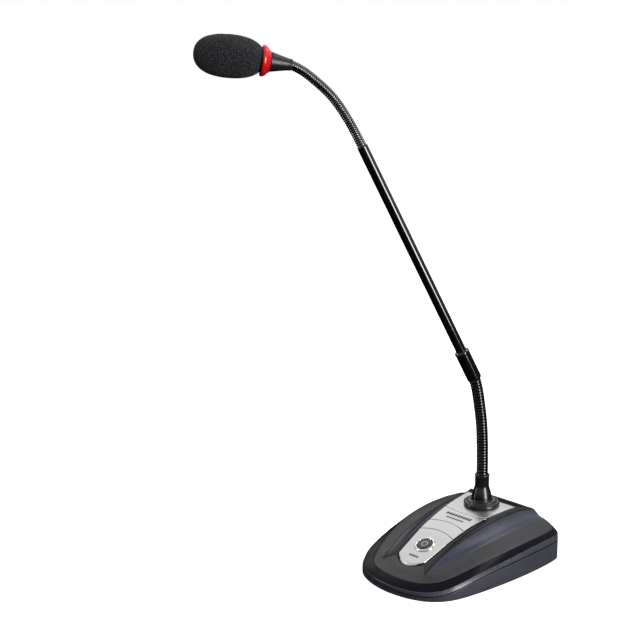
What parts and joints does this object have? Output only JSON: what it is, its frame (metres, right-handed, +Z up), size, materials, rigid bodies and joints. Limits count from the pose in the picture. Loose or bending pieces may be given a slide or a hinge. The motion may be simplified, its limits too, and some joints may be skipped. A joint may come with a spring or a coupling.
{
  "type": "gooseneck microphone",
  "caption": "Wireless desk microphone: wedge battery base with silver faceplate and power button, bendable goosenecks joined by a rigid tube, light ring and foam windscreen.",
  "frame": {"origin": "on the table plane, on the anti-slip pad's underside, below the middle of the base's outline", "axes": "+Z up out of the table, -Y the front of the base where the power button is, +X the right-hand side seen looking along +Y"},
  "size_m": [0.1814, 0.216, 0.3958],
  "materials": {
    "pad_rubber": "matte",
    "lower_shell": "satin",
    "ballast_steel": "rolled",
    "zinc_screw": "zinc plated",
    "cell_wrap": "gloss wrap",
    "spring_steel": "bright",
    "contact_plate": "bright",
    "lead_red": "satin",
    "board_green": "solder mask",
    "shield_tin": "bright",
    "chip_black": "matte",
    "capacitor_sleeve": "satin",
    "wire_copper": "bare",
    "button_black": "gloss",
    "bezel_chrome": "bright",
    "faceplate_silver": "satin silver",
    "upper_shell": "semi gloss",
    "boot_black": "semi gloss",
    "lead_grey": "satin",
    "tube_black": "gloss",
    "head_grey": "satin",
    "ring_red": "translucent",
    "housing_black": "satin",
    "foam_black": "open-cell foam",
    "gooseneck_black": "semi gloss"
  },
  "bodies": {
    "base": {"anti_slip_pad": "pad_rubber", "bottom_shell": "lower_shell", "ballast_plate": "ballast_steel", "ballast_screws": "zinc_screw", "case_screws": "zinc_screw", "batteries": "cell_wrap", "battery_springs": "spring_steel", "battery_plates": "contact_plate", "battery_leads": "lead_red", "main_board": "board_green", "board_screws": "zinc_screw", "shield_can": "shield_tin", "board_chips": "chip_black", "capacitors": "capacitor_sleeve", "antenna_wire": "wire_copper", "button_board": "board_green", "tact_switch": "chip_black", "button_bezel": "bezel_chrome", "faceplate": "faceplate_silver", "top_shell": "upper_shell", "stem_boot": "boot_black", "stem_nut": "zinc_screw", "stem_lead": "lead_grey"},
    "button": {"power_button": "button_black"},
    "door": {"battery_door": "lower_shell"},
    "lower_1": {"lower_link_1": "gooseneck_black"},
    "lower_2": {"lower_link_2": "gooseneck_black"},
    "lower_3": {"lower_link_3": "gooseneck_black"},
    "lower_4": {"lower_link_4": "gooseneck_black"},
    "lower_5": {"lower_link_5": "gooseneck_black"},
    "lower_6": {"lower_link_6": "gooseneck_black"},
    "tube": {"ferrule": "tube_black", "rigid_tube": "tube_black", "tube_lead": "lead_grey"},
    "upper_1": {"upper_link_1": "gooseneck_black"},
    "upper_2": {"upper_link_2": "gooseneck_black"},
    "upper_3": {"upper_link_3": "gooseneck_black"},
    "upper_4": {"upper_link_4": "gooseneck_black"},
    "upper_5": {"upper_link_5": "gooseneck_black"},
    "upper_6": {"upper_link_6": "gooseneck_black"},
    "head": {"head_cone": "head_grey", "led_board": "board_green", "light_ring": "ring_red", "capsule_housing": "housing_black", "capsule": "shield_tin", "capsule_gasket": "pad_rubber", "capsule_grille": "housing_black"},
    "windscreen": {"foam_windscreen": "foam_black"}
  },
  "joints": [
    {"name": "lower_bend", "type": "hinge", "parent": "base", "child": "lower_1", "pos_m": [0, 0.038, 0.065], "axis": [0.8339, -0.5519, 0], "range_deg": [-14, 9]},
    {"name": "lower_side", "type": "hinge", "parent": "lower_1", "child": "lower_2", "pos_m": [-0.00006, 0.03791, 0.0776], "axis": [0.5519, 0.8339, 0.0087], "range_deg": [-15, 15]},
    {"name": "lower_bend_2", "type": "hinge", "parent": "lower_2", "child": "lower_3", "pos_m": [-0.00012, 0.03782, 0.0902], "axis": [0.8339, -0.5519, 0], "range_deg": [-14, 9]},
    {"name": "lower_side_2", "type": "hinge", "parent": "lower_3", "child": "lower_4", "pos_m": [-0.00061, 0.03708, 0.10277], "axis": [0.5506, 0.8319, 0.0698], "range_deg": [-15, 15]},
    {"name": "lower_bend_3", "type": "hinge", "parent": "lower_4", "child": "lower_5", "pos_m": [-0.00109, 0.03635, 0.11534], "axis": [0.8339, -0.5519, 0], "range_deg": [-14, 9]},
    {"name": "lower_side_3", "type": "hinge", "parent": "lower_5", "child": "lower_6", "pos_m": [-0.00271, 0.0339, 0.12759], "axis": [0.5367, 0.8108, 0.2334], "range_deg": [-15, 15]},
    {"name": "lower_bend_4", "type": "hinge", "parent": "lower_6", "child": "tube", "pos_m": [-0.00434, 0.03145, 0.13984], "axis": [0.8339, -0.5519, 0], "range_deg": [-14, 9]},
    {"name": "upper_bend", "type": "hinge", "parent": "tube", "child": "upper_1", "pos_m": [-0.05433, -0.04409, 0.32151], "axis": [0.8339, -0.5519, 0], "range_deg": [-20, 12]},
    {"name": "upper_side", "type": "hinge", "parent": "upper_1", "child": "upper_2", "pos_m": [-0.05743, -0.04877, 0.33245], "axis": [0.4909, 0.7417, 0.4571], "range_deg": [-15, 15]},
    {"name": "upper_bend_2", "type": "hinge", "parent": "upper_2", "child": "upper_3", "pos_m": [-0.06054, -0.05346, 0.34339], "axis": [0.8339, -0.5519, 0], "range_deg": [-20, 12]},
    {"name": "upper_side_2", "type": "hinge", "parent": "upper_3", "child": "upper_4", "pos_m": [-0.06478, -0.05988, 0.35299], "axis": [0.4307, 0.6508, 0.6252], "range_deg": [-15, 15]},
    {"name": "upper_bend_3", "type": "hinge", "parent": "upper_4", "child": "upper_5", "pos_m": [-0.06903, -0.06629, 0.36259], "axis": [0.8339, -0.5519, 0], "range_deg": [-20, 12]},
    {"name": "upper_side_3", "type": "hinge", "parent": "upper_5", "child": "upper_6", "pos_m": [-0.07499, -0.0753, 0.36848], "axis": [0.2642, 0.3992, 0.878], "range_deg": [-15, 15]},
    {"name": "upper_bend_4", "type": "hinge", "parent": "upper_6", "child": "head", "pos_m": [-0.08095, -0.0843, 0.37437], "axis": [0.8339, -0.5519, 0], "range_deg": [-20, 12]},
    {"name": "power_press", "type": "slide", "parent": "base", "child": "button", "axis": [0, 0.3518, -0.9361], "range_m": [0, 0.0008], "stiffness_N_per_m": 1500},
    {"name": "door_slide", "type": "slide", "parent": "base", "child": "door", "axis": [0, 1, 0], "range_m": [0, 0.062]},
    {"name": "windscreen_slide", "type": "slide", "parent": "head", "child": "windscreen", "axis": [-0.5466, -0.8258, 0.1392], "range_m": [0, 0.05]}
  ],
  "couplings": [
    {"joint": "lower_bend_2", "follows": "lower_bend", "ratio": 1},
    {"joint": "lower_side_2", "follows": "lower_side", "ratio": 1},
    {"joint": "lower_bend_3", "follows": "lower_bend", "ratio": 1},
    {"joint": "lower_side_3", "follows": "lower_side", "ratio": 1},
    {"joint": "lower_bend_4", "follows": "lower_bend", "ratio": 1},
    {"joint": "upper_bend_2", "follows": "upper_bend", "ratio": 1},
    {"joint": "upper_side_2", "follows": "upper_side", "ratio": 1},
    {"joint": "upper_bend_3", "follows": "upper_bend", "ratio": 1},
    {"joint": "upper_side_3", "follows": "upper_side", "ratio": 1},
    {"joint": "upper_bend_4", "follows": "upper_bend", "ratio": 1}
  ]
}
